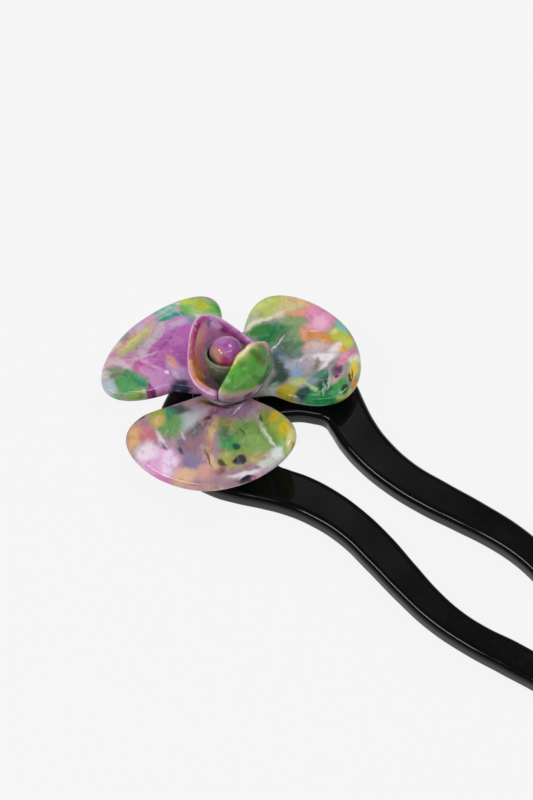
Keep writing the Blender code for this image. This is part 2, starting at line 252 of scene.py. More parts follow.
class Paint:
    """Builds one material's node tree: a place vector, warps of it, and layers of colour."""

    def __init__(self, name, base, **shader_values):
        self.material = bpy.data.materials.new(name)
        self.material.use_nodes = True
        self.tree = self.material.node_tree
        self.shader = self.tree.nodes["Principled BSDF"]
        for socket, value in shader_values.items():
            self.shader.inputs[socket.replace("_", " ")].default_value = value
        self.colour = linear(base)

    def node(self, kind, inputs=None, **settings):
        made = self.tree.nodes.new(kind)
        for key, value in settings.items():
            setattr(made, key, value)
        for key, value in (inputs or {}).items():
            self.feed(made.inputs[key], value)
        return made

    def feed(self, socket, value):
        if isinstance(value, bpy.types.NodeSocket):
            self.tree.links.new(value, socket)
        else:
            socket.default_value = value

    def vector(self, operation, first, second=None, scale=None):
        inputs = {0: first}
        if second is not None:
            inputs[1] = second
        if scale is not None:
            inputs["Scale"] = scale
        made = self.node("ShaderNodeVectorMath", inputs, operation=operation)
        return made.outputs["Value" if operation == "LENGTH" else "Vector"]

    def place(self, name="place"):
        return self.node("ShaderNodeAttribute", attribute_name=name).outputs["Vector"]

    def object_mm(self):
        coordinates = self.node("ShaderNodeTexCoord").outputs["Object"]
        return self.vector("SCALE", coordinates, scale=1 / MM)

    def noise(self, place, size, detail=2.0, roughness=0.5, distortion=0.0):
        """Noise whose features are about size millimetres across."""
        return self.node("ShaderNodeTexNoise", {
            "Vector": place, "Scale": 1 / size, "Detail": detail,
            "Roughness": roughness, "Distortion": distortion,
        })

    def warp(self, place, size, reach, detail=2.0):
        """Push the place vector about by up to half of reach millimetres each way."""
        swirl = self.noise(place, size, detail).outputs["Color"]
        centred = self.vector("SUBTRACT", swirl, (0.5, 0.5, 0.5))
        return self.vector("ADD", place, self.vector("SCALE", centred, scale=reach * 2))

    def spread(self, value, low, high, to_low=0.0, to_high=1.0):
        ranged = self.node("ShaderNodeMapRange", {
            "Value": value, "From Min": low, "From Max": high, "To Min": to_low, "To Max": to_high,
        }, interpolation_type="SMOOTHSTEP")
        return ranged.outputs["Result"]

    def layer(self, colour, share, blend_type="MIX"):
        """Lay a colour over what is there, by a share from 0 to 1."""
        mix = self.node("ShaderNodeMix", data_type="RGBA", blend_type=blend_type)
        factor, under, over = (mix.inputs[slot] for slot in (0, 6, 7))  # the slots for colours
        self.feed(factor, share)
        self.feed(under, self.colour)
        self.feed(over, colour)
        self.colour = mix.outputs[2]

    def blob(self, place, centre, size, turn, colour, soft=0.45, strength=0.95):
        """An elliptical patch: centre and half sizes in millimetres, turn in degrees."""
        depth = ANY_SIDE if len(centre) == 2 else size[2]
        local = self.node("ShaderNodeMapping", {
            "Vector": place,
            "Location": (*centre, 0.0)[:3],
            "Rotation": (0.0, 0.0, math.radians(turn)),
            "Scale": (size[0], size[1], depth),
        }, vector_type="TEXTURE").outputs[0]
        reach = self.vector("LENGTH", local)
        blur = min(soft * BLUR, 0.95)
        self.layer(linear(colour), self.spread(reach, 1 + blur, 1 - blur, 0.0, strength))

    def blobs(self, place, rows):
        for row in rows:
            self.blob(place, *row)

    def finish(self, bump=None, bump_distance=0.05):
        self.feed(self.shader.inputs["Base Color"], self.colour)
        if bump is not None:
            bumped = self.node("ShaderNodeBump", {
                "Height": bump, "Distance": bump_distance * MM, "Strength": 1.0,
            })
            self.feed(self.shader.inputs["Normal"], bumped.outputs[0])
        return self.material


def acetate_paint(name, base, depth=PETAL_DEPTH, translucence=PETAL_TRANSLUCENCE):
    """Polished translucent sheet acetate."""
    return Paint(
        name, base, Roughness=0.06, IOR=1.49, Specular_IOR_Level=0.35,
        Subsurface_Weight=translucence, Subsurface_Scale=depth, Subsurface_Radius=(1.2, 1.0, 1.0),
    )


def finish_acetate(paint, place):
    """Pearly wisps, cloudy shade and the faint waviness that polishing leaves."""
    swirl = paint.warp(place, 4.0, 2.5, 2.0)
    for turn, share in ((20, 0.2), (-40, 0.14)):
        combed = paint.node("ShaderNodeMapping", {
            "Vector": swirl, "Rotation": (0, 0, math.radians(turn)), "Scale": (0.28, 1.2, 1.0),
        }).outputs[0]
        wisp = paint.noise(combed, 1.6, 2.0, 0.5).outputs["Fac"]
        paint.layer(linear("f0e8ee"), paint.spread(wisp, 0.6, 0.78, 0.0, share))
    cloud = paint.noise(swirl, 1.6, 3.0, 0.6).outputs["Fac"]
    paint.layer((0.3, 0.26, 0.28, 1), paint.spread(cloud, 0.5, 0.75, 0.0, 0.45), "MULTIPLY")
    paint.layer((1, 1, 1, 1), paint.spread(cloud, 0.45, 0.25, 0.0, 0.08), "SCREEN")
    ripple = paint.noise(place, 7.0, 1.0).outputs["Fac"]
    return paint.finish(ripple, 0.1)


# Pattern of each outer petal: centre along and across, half sizes, turn, colour, softness

LEFT_PATTERN = (
    ((16.0, 6.2), (4.8, 3.8), 12, "6f9a4c", 0.3),
    ((18.0, 9.2), (3.4, 2.2), 32, "84a85e", 0.4),
    ((17.2, 3.4), (2.6, 1.6), 25, "3f9552", 0.5),
    ((13.0, 2.2), (2.4, 1.7), 35, "8c8f48", 0.5),
    ((21.0, 3.7), (2.2, 1.5), 32, "a7a853", 0.45),
    ((12.2, 9.4), (3.4, 1.8), 5, "76893a", 0.4),
    ((15.0, 12.5), (4.4, 2.5), 22, "9aa944", 0.35),
    ((16.2, 11.2), (3.0, 1.1), 34, "6a924b", 0.5),
    ((14.5, 13.7), (2.1, 0.9), 20, "cdb61e", 0.45),
    ((11.4, 11.1), (0.95, 1.0), 0, "c8a90c", 0.45),
    ((19.0, 13.9), (1.8, 0.8), 18, "80b464", 0.5),
    ((17.0, 14.9), (3.0, 0.45), -2, "d8cf8c", 0.5),
    ((11.9, 8.2), (1.0, 0.5), 20, "1b2c10", 0.4),
    ((14.8, 9.8), (4.2, 0.4), 34, "aebf9c", 0.6),
    ((16.8, 11.3), (2.8, 0.3), 36, "c8d4be", 0.6),
    ((20.0, 12.7), (1.4, 1.5), -40, "d6dfd8", 0.35),
    ((22.0, 11.6), (1.1, 1.7), -30, "c8ccc4", 0.4),
    ((20.4, 9.9), (1.1, 1.6), 20, "b8a972", 0.35),
    ((20.8, 6.4), (1.7, 2.1), 15, "a39a58", 0.4),
    ((20.8, 6.3), (1.1, 1.5), 15, "23283a", 0.22),
    ((17.9, 5.1), (0.75, 0.95), 0, "1d4a44", 0.3),
    ((14.6, 5.4), (0.9, 0.3), 35, "476a24", 0.5),
    ((15.2, 2.5), (1.7, 0.9), 30, "47704a", 0.5),
    ((21.7, 2.9), (1.1, 0.55), 40, "4c3d1e", 0.45),
    ((23.5, 2.9), (0.9, 1.0), 0, "8d565a", 0.5),
    ((24.0, 8.2), (0.6, 3.4), 14, "dedce0", 0.4),
    ((14.0, 0.0), (3.0, 0.7), -6, "ceb07c", 0.5),
    ((18.0, -0.5), (2.4, 0.5), 6, "b98462", 0.5),
    ((21.5, 1.0), (2.0, 0.7), 32, "dab88a", 0.45),
    ((20.8, 0.2), (2.4, 0.25), 30, "632c22", 0.5),
    ((11.6, -1.6), (1.0, 0.4), -30, "4f2226", 0.5),
    ((14.2, -1.8), (1.9, 0.3), 0, "8f5142", 0.5),
    ((23.6, 0.2), (2.0, 1.4), 25, "d69c90", 0.45),
    ((17.6, -3.3), (3.0, 2.0), 0, "8f6a78", 0.4),
    ((14.2, -3.1), (1.5, 1.1), -10, "55595c", 0.4),
    ((12.0, -4.7), (2.7, 1.6), -20, "b3bec2", 0.4),
    ((10.2, -3.4), (1.5, 1.5), 0, "bab0bc", 0.5),
    ((15.2, -5.4), (1.2, 0.35), 35, "ccc8d2", 0.5),
    ((17.4, -5.3), (0.9, 0.6), 0, "716d8a", 0.4),
    ((19.3, -5.0), (0.9, 0.45), 35, "3d3358", 0.4),
    ((21.3, -3.0), (1.7, 1.8), 0, "87759c", 0.35),
    ((24.7, -3.5), (1.8, 2.4), 12, "deb592", 0.4),
    ((9.4, 3.2), (2.0, 3.6), 0, "957790", 0.4),
    ((9.2, 3.8), (1.4, 0.15), -35, "e0d4e0", 0.6),
    ((8.7, 1.4), (0.6, 1.3), 10, "64104a", 0.45),
    ((9.9, -0.4), (0.7, 1.4), 25, "94527c", 0.5),
    ((8.1, -2.2), (0.4, 2.0), -8, "8a6a1c", 0.5),
    ((13.4, -8.2), (3.2, 2.8), 25, "5d9446", 0.35),
    ((10.1, -7.4), (1.1, 2.4), 0, "174640", 0.4),
    ((11.3, -9.4), (1.3, 1.9), 0, "2a8a58", 0.45),
    ((11.9, -11.0), (1.7, 1.4), 0, "989e3e", 0.4),
    ((13.2, -10.4), (1.3, 1.2), 0, "cba85a", 0.45),
    ((16.4, -11.6), (1.9, 2.2), 0, "c4707c", 0.4),
    ((17.4, -13.8), (2.6, 1.0), 0, "dcae74", 0.5),
    ((22.4, -8.6), (3.8, 3.4), 0, "e0a8d4", 0.3),
    ((21.9, -6.9), (2.9, 1.3), 10, "ecd4ec", 0.4),
    ((20.0, -11.0), (2.4, 1.9), -25, "f0deea", 0.35),
    ((17.2, -8.6), (2.2, 0.4), 30, "e2cfe0", 0.5),
    ((18.5, -8.0), (0.8, 0.35), 30, "91609a", 0.45),
    ((25.4, -8.2), (0.8, 2.6), -22, "cf74aa", 0.45),
    ((25.0, 10.4), (1.3, 5.2), 27, "bc6496", 0.35),
    ((24.8, 8.1), (0.3, 1.5), 22, "15122c", 0.4),
    ((27.2, 3.8), (0.9, 3.0), -6, "dfb088", 0.4),
    ((27.3, -2.2), (0.8, 3.6), 0, "dc9a9c", 0.4),
    ((17.5, 16.1), (5.2, 0.6), -3, "b5700c", 0.4),
    ((12.6, -13.8), (1.9, 0.4), -38, "42141c", 0.5),
)

HEAD_PATTERN = (
    ((12.0, -3.0), (4.2, 5.4), 0, "b65cae", 0.3),
    ((11.0, 2.6), (4.4, 3.0), 0, "be6cb0", 0.4),
    ((12.4, 6.2), (4.2, 2.0), -8, "cb74ae", 0.35),
    ((8.2, 6.4), (3.2, 2.2), 10, "cf98cb", 0.4),
    ((7.2, 2.6), (2.6, 1.1), -15, "c8a6d0", 0.45),
    ((12.2, 4.6), (2.8, 0.4), 8, "d9a4d2", 0.5),
    ((10.2, 7.0), (2.4, 0.25), -12, "da9cc8", 0.5),
    ((9.3, 1.5), (1.6, 0.6), -20, "e0a08c", 0.45),
    ((8.1, 4.3), (0.5, 0.3), 0, "f6ecf6", 0.4),
    ((6.4, 3.6), (0.9, 0.5), -20, "e2cfe8", 0.5),
    ((8.2, -0.6), (2.0, 1.4), -40, "a24f9c", 0.45),
    ((13.2, -1.6), (0.25, 3.6), 12, "9f4a98", 0.6),
    ((15.4, 0.4), (0.8, 6.6), 8, "c9b6bc", 0.4),
    ((14.2, 4.2), (0.35, 3.0), -28, "dbb0cf", 0.5),
    ((14.4, -6.0), (0.7, 2.6), -20, "c3a9c4", 0.5),
    ((17.3, 1.8), (0.8, 6.0), 2, "bfbc78", 0.35),
    ((17.9, 2.6), (0.35, 4.0), 0, "d9cf8c", 0.5),
    ((18.6, 0.2), (0.5, 5.2), 3, "cfae84", 0.45),
    ((16.5, 3.0), (0.3, 3.4), 4, "9fae7a", 0.5),
    ((19.5, 5.2), (0.9, 2.2), 10, "d8c8a4", 0.4),
    ((19.7, 2.0), (0.8, 1.6), 0, "a0949a", 0.4),
    ((19.7, -1.4), (0.9, 2.0), 0, "c5b0d0", 0.4),
    ((19.6, -3.9), (0.9, 1.3), 0, "d8a2c2", 0.4),
    ((18.2, -7.4), (1.9, 2.4), -10, "92c2b0", 0.35),
    ((16.4, -6.3), (0.6, 2.3), -22, "1f9684", 0.35),
    ((14.8, -8.5), (1.5, 0.5), 35, "348b7c", 0.45),
    ((17.6, -6.6), (0.3, 1.8), -15, "5fae9c", 0.5),
    ((12.7, -8.5), (1.3, 1.1), 0, "7d93b0", 0.4),
    ((13.6, -11.6), (4.6, 2.4), 14, "93ba52", 0.3),
    ((15.3, -9.7), (1.0, 1.1), 0, "66b040", 0.4),
    ((10.9, -12.9), (2.0, 1.2), 0, "56ac52", 0.4),
    ((13.4, -12.2), (1.8, 0.8), 12, "bcb60e", 0.4),
    ((16.3, -11.0), (1.2, 1.0), 0, "c6ca4c", 0.45),
    ((12.2, -10.2), (1.2, 0.4), 20, "c4d6bc", 0.5),
    ((17.4, -9.4), (0.8, 0.4), 40, "cde0cc", 0.5),
    ((15.4, 8.1), (2.2, 0.9), 0, "dcc2ce", 0.4),
    ((17.6, 9.6), (1.5, 1.5), 0, "dcb8c0", 0.4),
    ((11.2, 11.0), (2.9, 3.4), -15, "52a65a", 0.22),
    ((13.0, 9.2), (1.2, 1.1), 0, "5a9a6a", 0.4),
    ((9.6, 9.9), (2.2, 0.7), -18, "3f8f74", 0.45),
    ((8.7, 12.8), (1.1, 2.4), -22, "92b05a", 0.4),
    ((10.2, 15.3), (2.2, 0.9), 0, "6caf64", 0.4),
    ((15.1, 11.0), (1.6, 1.9), 0, "8a9a76", 0.3),
    ((14.3, 11.6), (0.5, 1.5), -10, "768a66", 0.5),
    ((13.6, 14.5), (1.7, 1.5), -30, "b2c6c8", 0.35),
    ((16.2, 12.9), (1.3, 1.2), -30, "c9cac2", 0.4),
    ((17.9, 11.1), (0.7, 1.3), 15, "dd96ae", 0.4),
    ((3.9, 5.2), (1.7, 2.0), 30, "1c2a48", 0.3),
    ((3.2, 7.2), (1.3, 1.3), 0, "083c48", 0.35),
    ((1.6, 5.4), (0.9, 1.3), 0, "1f8a5c", 0.4),
    ((6.9, 10.1), (0.9, 1.0), 20, "760a60", 0.25),
    ((7.9, 9.2), (0.9, 0.4), -20, "9c3a86", 0.5),
    ((5.6, 8.2), (1.2, 1.0), 0, "cf8cc2", 0.45),
    ((20.6, 2.5), (0.4, 3.6), 0, "93a48c", 0.4),
)

RIGHT_PATTERN = (
    ((15.0, 11.2), (5.4, 2.6), 0, "bfca6e", 0.3),
    ((10.6, 9.9), (2.4, 1.7), 25, "b8c69e", 0.4),
    ((14.6, 12.2), (2.6, 0.7), 0, "cfd67c", 0.5),
    ((20.4, 10.4), (2.4, 1.6), -40, "e6c48a", 0.35),
    ((22.6, 8.0), (1.7, 2.0), -50, "e8ba90", 0.4),
    ((18.2, 9.2), (2.4, 1.2), -5, "d3c592", 0.4),
    ((12.8, 9.0), (4.0, 0.5), -6, "e4e1cf", 0.45),
    ((16.8, 8.0), (1.4, 0.6), -20, "ecd0bc", 0.5),
    ((19.8, 7.3), (2.5, 0.8), -14, "eb9c78", 0.4),
    ((22.4, 4.4), (3.1, 3.1), 0, "e590b6", 0.28),
    ((22.2, 3.4), (1.9, 1.5), 20, "f0b6d0", 0.5),
    ((24.4, 5.4), (0.9, 1.8), 20, "dc96bc", 0.45),
    ((17.8, 6.0), (2.6, 1.7), -32, "8fa472", 0.28),
    ((13.2, 5.9), (3.6, 1.9), -20, "24884a", 0.28),
    ((10.8, 7.5), (2.3, 1.0), -15, "48893f", 0.4),
    ((11.6, 4.6), (1.7, 1.6), 0, "24864a", 0.4),
    ((14.6, 4.6), (2.6, 0.3), 20, "7aa86e", 0.5),
    ((15.3, 2.2), (3.3, 3.2), 20, "587e5e", 0.25),
    ((17.0, 3.6), (1.8, 1.3), 40, "86a070", 0.4),
    ((14.9, -0.4), (2.0, 1.3), 0, "718f7c", 0.4),
    ((11.4, 1.2), (1.4, 1.2), 0, "546f82", 0.4),
    ((11.4, -0.4), (1.3, 1.4), 0, "8d9eac", 0.45),
    ((12.6, 3.3), (2.3, 0.14), 18, "e6efe8", 0.5),
    ((18.2, 2.4), (1.0, 1.8), -25, "e8a080", 0.45),
    ((19.3, 1.2), (1.8, 0.8), -15, "da8c50", 0.4),
    ((20.8, -0.6), (1.6, 1.4), 0, "dc9238", 0.4),
    ((20.0, 2.0), (1.2, 0.25), -20, "f4b880", 0.5),
    ((23.6, -1.4), (1.9, 2.5), 0, "bac44a", 0.3),
    ((22.3, -3.8), (1.5, 1.3), 0, "e6ae34", 0.4),
    ((24.0, -3.2), (1.1, 1.4), 0, "c8ce58", 0.45),
    ((23.2, 0.4), (0.9, 0.4), 30, "dcd880", 0.5),
    ((25.1, 0.6), (0.8, 1.5), 0, "84c4b4", 0.35),
    ((18.2, -1.0), (2.1, 1.4), -20, "dfbcb2", 0.4),
    ((16.4, -3.2), (4.6, 1.9), 0, "c2b4c2", 0.35),
    ((18.5, -3.8), (2.4, 0.9), -25, "f6ecf0", 0.4),
    ((21.2, -3.2), (1.3, 0.9), 0, "f0deda", 0.4),
    ((14.6, -1.9), (1.7, 0.4), 0, "e0d8e2", 0.5),
    ((16.0, -4.4), (1.5, 0.5), 40, "9a8070", 0.4),
    ((17.4, -5.4), (1.6, 0.5), 25, "f3eaf0", 0.45),
    ((12.6, -2.3), (1.4, 1.2), 0, "b4bad0", 0.4),
    ((12.0, -4.0), (1.4, 1.1), 0, "94b6de", 0.4),
    ((9.2, -3.7), (2.5, 1.3), 15, "0a3a30", 0.35),
    ((10.2, -1.4), (1.0, 2.6), -10, "21493f", 0.4),
    ((7.2, -4.6), (1.0, 0.5), 10, "7aa698", 0.5),
    ((6.6, -5.7), (1.7, 0.9), -45, "c9d2ca", 0.4),
    ((13.8, -6.9), (1.3, 1.1), 0, "8ba2ae", 0.45),
    ((11.4, -5.9), (1.8, 0.9), -10, "cdd48c", 0.45),
    ((8.8, -6.9), (1.9, 1.5), -35, "bcae10", 0.35),
    ((8.1, -8.5), (0.9, 0.6), -40, "8c8410", 0.45),
    ((13.6, -11.6), (4.6, 3.2), 8, "1f8a4a", 0.3),
    ((10.8, -8.9), (1.6, 1.4), 0, "083f3a", 0.28),
    ((12.9, -8.6), (0.4, 2.3), 12, "b8d49c", 0.4),
    ((15.2, -9.2), (1.3, 3.1), -38, "10483a", 0.35),
    ((15.8, -6.9), (1.5, 0.7), -10, "4a8676", 0.45),
    ((15.9, -9.0), (0.22, 2.4), -42, "a6c8b2", 0.5),
    ((14.2, -10.2), (0.2, 2.2), -30, "7dbb82", 0.5),
    ((12.2, -12.8), (3.8, 1.3), -18, "067a3a", 0.35),
    ((16.9, -10.6), (1.4, 1.7), 0, "3f9a48", 0.4),
    ((16.3, -13.6), (2.2, 0.6), 8, "bcc860", 0.45),
    ((17.6, -8.8), (2.0, 0.8), 30, "cfa8a8", 0.45),
    ((18.8, -7.6), (1.6, 0.9), 35, "6b3a5c", 0.25),
    ((17.9, -8.4), (0.7, 0.3), 35, "4a2244", 0.45),
    ((22.0, -6.2), (2.6, 0.9), 14, "e890b2", 0.35),
    ((23.0, -7.6), (1.7, 1.0), 30, "e2e4ce", 0.4),
    ((22.9, -9.3), (1.2, 0.9), 40, "86be84", 0.45),
    ((21.0, -9.4), (2.3, 0.8), 40, "e2c850", 0.35),
    ((19.6, -12.3), (1.4, 0.7), 40, "cf940a", 0.4),
    ((19.3, -10.7), (0.35, 1.3), -25, "4c2c06", 0.35),
    ((20.3, -10.0), (0.2, 1.0), -25, "7d5210", 0.4),
    ((17.4, -12.1), (0.7, 0.7), 0, "173f20", 0.4),
)

PATTERNS = {
    "left_petal": ("a5838f", LEFT_PATTERN),
    "head_petal": ("c68cc0", HEAD_PATTERN),
    "right_petal": ("9c9a98", RIGHT_PATTERN),
}

# Bud patterns: arc round the axis from the petal's tip, height, and which way the surface
# faces, from -1 towards the core to 1 away from it

BACK_PATTERN = (
    ((7.0, 15.0, 1), (8.0, 7.0, 1.0), 0, "b766aa", 0.3),
    ((12.5, 12.0, 1), (4.4, 3.0, 1.0), 0, "bd8cb4", 0.4),
    ((6.8, 15.5, -1), (4.8, 7.5, 1.3), 0, "ffa63c", 0.3),
    ((8.2, 16.0, -1), (0.8, 5.5, 1.3), -8, "f08412", 0.45),
    ((5.6, 15.0, -1), (0.9, 6.0, 1.3), -6, "ffdc94", 0.45),
    ((3.2, 20.0, -1), (2.0, 3.6, 1.2), 0, "ffc8a4", 0.4),
    ((0.6, 18.0, -1), (1.8, 4.0, 1.2), 0, "ffbab2", 0.45),
    ((-2.2, 21.0, -1), (0.7, 1.1, 1.0), 0, "747ca6", 0.4),
    ((-4.6, 20.4, -1), (2.0, 2.0, 1.0), 0, "f6cef4", 0.45),
    ((-6.0, 17.6, -1), (1.2, 1.2, 1.0), 0, "963a96", 0.4),
    ((-9.4, 16.0, -1), (3.0, 3.0, 1.0), 0, "a24898", 0.4),
    ((12.6, 14.4, -1), (0.9, 0.8, 1.0), 0, "942a1c", 0.4),
)

FRONT_PATTERN = (
    ((-1.0, 19.6, 0), (8.4, 3.0, ANY_SIDE), 0, "4f9f40", 0.25),
    ((-3.6, 20.2, 0), (3.0, 1.4, ANY_SIDE), 0, "62ad42", 0.4),
    ((2.2, 20.4, 0), (1.0, 1.8, ANY_SIDE), 10, "55702c", 0.45),
    ((4.6, 18.6, 0), (1.2, 3.0, ANY_SIDE), 10, "3f6a34", 0.45),
    ((8.0, 18.6, 0), (2.6, 4.4, ANY_SIDE), 10, "c27488", 0.35),
    ((6.4, 15.6, 0), (0.9, 1.8, ANY_SIDE), 15, "164438", 0.4),
    ((2.8, 16.6, 0), (2.8, 1.2, ANY_SIDE), 0, "1f6a3a", 0.45),
    ((0.4, 15.9, 0), (1.4, 0.8, ANY_SIDE), 0, "2a7a66", 0.45),
    ((-6.0, 14.4, 0), (6.6, 2.4, ANY_SIDE), 0, "b898b6", 0.4),
    ((-2.0, 13.0, 0), (10.0, 2.6, ANY_SIDE), 0, "ab86a6", 0.4),
    ((-2.6, 14.9, 0), (0.8, 1.0, ANY_SIDE), -20, "74305f", 0.35),
    ((-5.6, 13.4, 0), (2.0, 0.3, ANY_SIDE), 15, "d6bcd4", 0.5),
    ((8.8, 13.6, 0), (2.2, 3.0, ANY_SIDE), 0, "7c8a44", 0.4),
)

# Rim patterns: the same, but with depth below the rim instead of height

BACK_RIM = (
    ((3.0, 0.5, -0.5), (6.0, 1.1, 0.75), 0, "8c1064", 0.3),
    ((-7.0, 0.5, -0.5), (5.0, 1.0, 0.75), 0, "a85aa0", 0.4),
    ((9.6, 0.6, -0.6), (5.0, 1.0, 0.75), 0, "d98a4e", 0.45),
    ((0.0, 0.0, 1.0), (40.0, 0.6, 0.4), 0, "eebcd8", 0.35),
)

FRONT_RIM = (
    ((2.0, 1.2, -1), (2.6, 1.2, 0.7), 0, "6e2c18", 0.35),
    ((-4.6, 0.5, -0.7), (3.6, 0.9, 0.7), 0, "d9bc1e", 0.4),
    ((-1.0, 0.1, 0.5), (9.0, 0.4, 0.8), 0, "eee0b4", 0.45),
    ((7.0, 0.2, 0.4), (3.6, 0.6, 1.0), 0, "d797a4", 0.45),
)

CORE_PATTERN = (
    ((-2.1, 0.2, 19.6), (1.3, 1.6, 2.4), 0, "bd8873", 0.4),
    ((-1.9, -1.4, 19.0), (1.0, 1.0, 2.0), 0, "a3254c", 0.4),
    ((-2.9, 0.8, 17.8), (1.0, 2.0, 2.0), 0, "46452f", 0.4),
    ((1.2, 1.8, 21.0), (2.0, 1.4, 2.0), 0, "bd86bd", 0.45),
    ((2.2, -0.6, 19.6), (1.0, 1.4, 2.0), 0, "8a3a8e", 0.45),
)

CUP_PATTERN = (
    ((0.0, 19.0, 0), (14.0, 0.8, ANY_SIDE), 0, "77795e", 0.4),
    ((4.0, 16.0, 0), (3.0, 2.0, ANY_SIDE), 0, "6f8f78", 0.4),
    ((-3.0, 15.0, 0), (3.0, 2.4, ANY_SIDE), 0, "31503c", 0.4),
)


# Fork

def fork_material():
    paint = Paint(
        "polished_black_acetate", "050507", Roughness=0.09, IOR=1.49, Specular_IOR_Level=0.25,
    )
    place = paint.object_mm()
    cloud = paint.noise(place, 14.0, 3.0).outputs["Fac"]
    paint.layer(linear("0b0b0e"), paint.spread(cloud, 0.4, 0.7))
    haze = paint.noise(place, 1.2, 6.0, 0.7).outputs["Fac"]
    roughness = paint.spread(haze, 0.3, 0.8, 0.07, 0.15)
    paint.feed(paint.shader.inputs["Roughness"], roughness)
    ripple = paint.noise(place, 16.0, 1.0).outputs["Fac"]
    return paint.finish(ripple, 0.35)


def make_fork():
    points = list(FORK_HALF) + [(-x, y) for x, y in reversed(FORK_HALF[1:-1])]
    curve = bpy.data.curves.new("fork_outline", "CURVE")
    curve.dimensions = "2D"
    curve.fill_mode = "BOTH"
    curve.extrude = (SHEET_THICKNESS / 2 - SHEET_ROUNDING) * MM
    curve.bevel_depth = SHEET_ROUNDING * MM
    curve.bevel_resolution = FORK_EDGE_SEGMENTS
    curve.offset = -SHEET_ROUNDING * MM
    curve.resolution_u = FORK_STEPS
    spline = curve.splines.new("BEZIER")
    spline.bezier_points.add(len(points) - 1)
    spline.use_cyclic_u = True
    for bezier, (x, y) in zip(spline.bezier_points, points):
        bezier.co = (x * MM, y * MM, 0)
        bezier.handle_left_type = bezier.handle_right_type = "AUTO"
    obj = bpy.data.objects.new("fork_curve", curve)
    bpy.context.scene.collection.objects.link(obj)
    obj.location.z = (FORK_LOW.z + SHEET_THICKNESS / 2) * MM
    fork = settled(obj, "black_fork")
    fork.data.shade_smooth()
    stand_in(fork, "hair_fork", fork_material())


# Outer petals

def turn_between(angle, centre):
    """Degrees from centre round to angle, between -180 and 180."""
    return (angle - centre + 180) % 360 - 180


def petal_radius(angle):
    """The smooth closed curve of cosines that passes through PETAL_RADII."""
    last = len(PETAL_RADII) - 1
    total = 0.0
    for order in range(last + 1):
        share = 0.0
        for step, radius in enumerate(PETAL_RADII):
            weight = 0.5 if step in (0, last) else 1.0
            share += weight * radius * math.cos(math.pi * order * step / last)
        share *= (1.0 if order in (0, last) else 2.0) / last
        total += share * math.cos(order * angle)
    return total


def petal_matrix(direction, pitch, roll, shift, lift):
    """From a petal lying along +X at the flower's centre to its place, in millimetres."""
    place = Matrix.Translation((*FLOWER_AXIS, PETAL_ROOT_HEIGHT + lift))
    turn = Matrix.Rotation(math.radians(direction), 4, "Z")
    outwards = Matrix.Translation((shift, 0, 0))
    raise_tip = Matrix.Rotation(math.radians(-pitch), 4, "Y")
    tip_sideways = Matrix.Rotation(math.radians(roll), 4, "X")
    return place @ turn @ outwards @ raise_tip @ tip_sideways


def half_space(direction, side):
    """A block that cuts off what lies to one side of a ray from the flower's centre."""
    bm = bmesh.new()
    bmesh.ops.create_cube(bm, size=CUTTER_SIZE * MM)
    obj = new_object("cutter", bm)
    turn = Matrix.Rotation(math.radians(direction), 4, "Z")
    beside = Matrix.Translation(Vector((0, side * (CUTTER_SIZE - ROOT_GAP) / 2, 0)) * MM)
    centre = Matrix.Translation(Vector((*FLOWER_AXIS, PETAL_ROOT_HEIGHT)) * MM)
    obj.matrix_world = centre @ turn @ beside
    return obj


def upright_cutter(centre, radius, bottom):
    bm = bmesh.new()
    bmesh.ops.create_cone(
        bm, cap_ends=True, segments=HOLE_SEGMENTS, depth=CUTTER_HEIGHT * MM,
        radius1=radius * MM, radius2=radius * MM,
    )
    obj = new_object("cutter", bm)
    obj.location = Vector((*centre, bottom + CUTTER_HEIGHT / 2)) * MM
    return obj


def make_outer_petal(name, neighbours, shared_cutters):
    direction, pitch, roll, shift, along, across, lift = PETALS[name]
    bm = disc_of_rings(PETAL_RINGS, PETAL_SPOKES)
    for vert in bm.verts:
        reach = vert.co.length * petal_radius(math.atan2(vert.co.y, vert.co.x))
        flat = vert.co.normalized() * reach
        u = (PETAL_MIDDLE + flat.x) * along
        v = flat.y * across
        vert.co = Vector((u, v, CUP_ALONG * u * u + CUP_ACROSS * v * v)) * MM
    petal = new_object(name + "_sheet", bm)
    matrix = petal_matrix(direction, pitch, roll, shift, lift)
    petal.matrix_world = Matrix.Translation(matrix.translation * MM) @ matrix.to_3x3().to_4x4()
    add_wall(petal, PETAL_THICKNESS, 0)
    add_rounding(petal, PETAL_ROUNDING)
    add_smoothing(petal)
    own_cutters = []
    for neighbour, side in zip(neighbours, (-1, 1)):
        turn_to_it = turn_between(PETALS[neighbour][0], direction)
        own_cutters.append(half_space(direction + turn_to_it / 2, -side))
    cut(petal, own_cutters + shared_cutters)
    fine = settled(petal, name + "_marbled")
    for cutter in own_cutters:
        bpy.data.objects.remove(cutter, do_unlink=True)
    back_to_sheet = matrix.inverted()
    write_vectors(fine, "place", lambda vert: back_to_sheet @ (vert.co / MM))
    base, pattern = PATTERNS[name]
    paint = acetate_paint(name + "_acetate", base)
    place = paint.place()
    edge = paint.warp(paint.warp(place, 4.5, 1.1), 1.3, 0.45)
    paint.blobs(edge, pattern)
    stand_in(fine, name, finish_acetate(paint, place))


def make_outer_petals():
    glue_hole = upright_cutter(FLOWER_AXIS, GLUE_HOLE_RADIUS, 0)
    bud_seat = upright_cutter(BUD_AXIS, BUD_SEAT_RADIUS, BUD_SEAT)
    names = list(PETALS)
    for index, name in enumerate(names):
        neighbours = (names[index - 1], names[(index + 1) % len(names)])
        make_outer_petal(name, neighbours, [glue_hole, bud_seat])
    for cutter in (glue_hole, bud_seat):
        bpy.data.objects.remove(cutter, do_unlink=True)


# Bud

def cup_radius(cup, height):
    share = min(max((height - BUD_BASE) / cup["rise"], 0.0), 1.0)
    return cup["root"] + (cup["full"] - cup["root"]) * math.sin(share * math.pi / 2)


